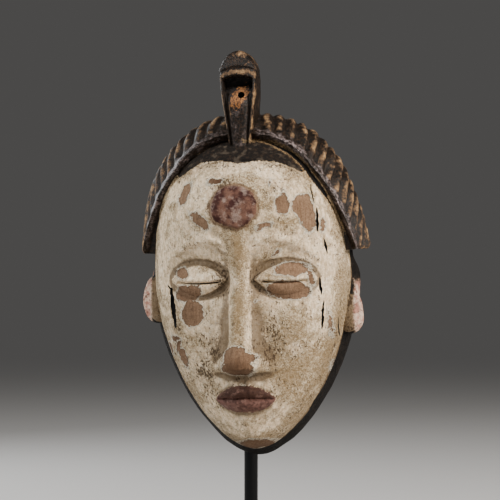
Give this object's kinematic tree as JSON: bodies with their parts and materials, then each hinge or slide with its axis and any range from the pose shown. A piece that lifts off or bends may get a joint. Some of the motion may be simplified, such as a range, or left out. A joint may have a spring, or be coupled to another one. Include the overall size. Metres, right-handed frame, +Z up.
{
  "type": "punu mask",
  "caption": "Whitened wooden face mask with a black ridged coiffure and upright crest, held on a black steel rod in a square foot.",
  "frame": {"origin": "middle of the foot's underside", "axes": "+Z up, the mask faces -Y, +X to the right of a viewer who faces it"},
  "size_m": [0.1736, 0.1603, 0.4119],
  "materials": {
    "painted_wood": "flaking white kaolin over carved wood, with black stained hair and bare brown losses",
    "black_steel": "gloss black paint",
    "black_lacquer": "satin black lacquer"
  },
  "bodies": {
    "root": {"mask": "painted_wood", "stand_rod": "black_steel", "stand_base": "black_lacquer"}
  },
  "joints": []
}
